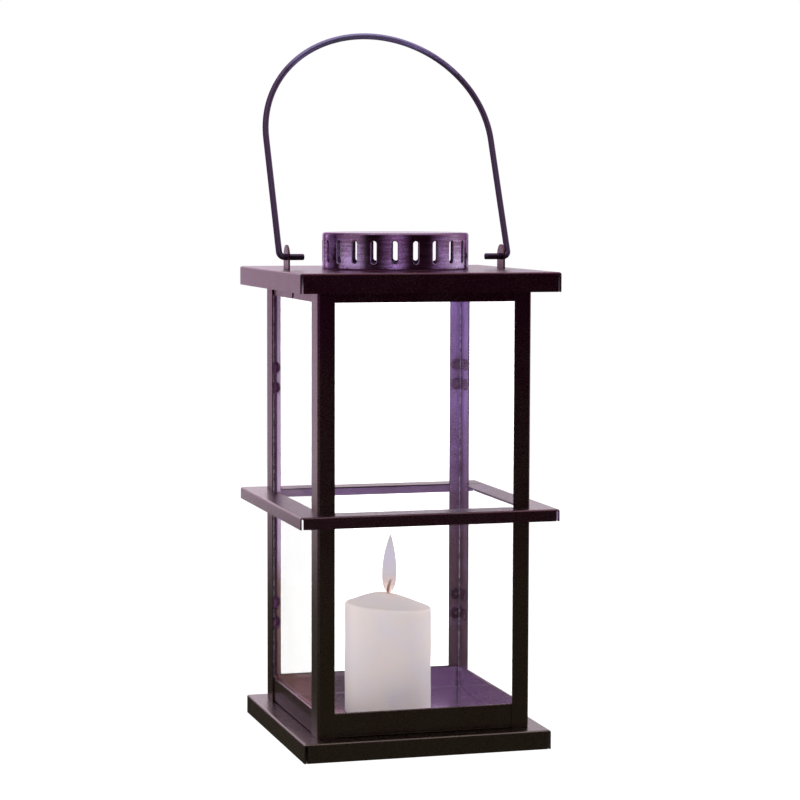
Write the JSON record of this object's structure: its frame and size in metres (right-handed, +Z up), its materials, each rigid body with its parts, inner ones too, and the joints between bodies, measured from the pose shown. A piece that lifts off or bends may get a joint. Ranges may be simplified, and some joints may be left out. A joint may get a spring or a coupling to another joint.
{
  "type": "candle lantern",
  "caption": "Square glazed candle lantern with a folded metal base and roof, a flanged middle ring, a round slotted vent cap and a swinging wire bail.",
  "frame": {"origin": "centre of the base tray's underside, on the surface that the lantern stands on", "axes": "+Z up through the vent cap, +X to the right along the bail's hinge line, front towards -Y, the side that the bail leans away from"},
  "size_m": [0.149, 0.149, 0.4065],
  "materials": {
    "lacquered_steel": "satin black-brown lacquer on folded steel sheet",
    "bail_wire": "satin lacquer on drawn steel wire",
    "clear_glass": "clear float glass",
    "bedding_pad": "matt dark bedding compound",
    "candle_wax": "off-white translucent wax",
    "cotton_wick": "waxed cotton, scorched brown"
  },
  "bodies": {
    "cage": {"base_tray": "lacquered_steel", "candle_pan": "lacquered_steel", "front_left_post": "lacquered_steel", "front_right_post": "lacquered_steel", "back_left_post": "lacquered_steel", "back_right_post": "lacquered_steel", "middle_ring": "lacquered_steel", "front_glass": "clear_glass", "back_glass": "clear_glass", "left_glass": "clear_glass", "right_glass": "clear_glass", "glass_pads": "bedding_pad"},
    "lid": {"roof": "lacquered_steel", "split_band": "lacquered_steel", "vent_cap": "lacquered_steel", "left_ear": "lacquered_steel", "right_ear": "lacquered_steel"},
    "bail": {"bail_handle": "bail_wire"},
    "pillar_candle": {"candle": "candle_wax", "candle_wick": "cotton_wick"}
  },
  "joints": [
    {"name": "roof_lift", "type": "slide", "parent": "cage", "child": "lid", "axis": [0, 0, 1], "range_m": [0, 0.06]},
    {"name": "bail_swing", "type": "hinge", "parent": "lid", "child": "bail", "pos_m": [0, 0, 0.2756], "axis": [1, 0, 0], "range_deg": [-67, 119]},
    {"name": "candle_lift", "type": "slide", "parent": "cage", "child": "pillar_candle", "axis": [0, 0, 1], "range_m": [0, 0.1]}
  ]
}
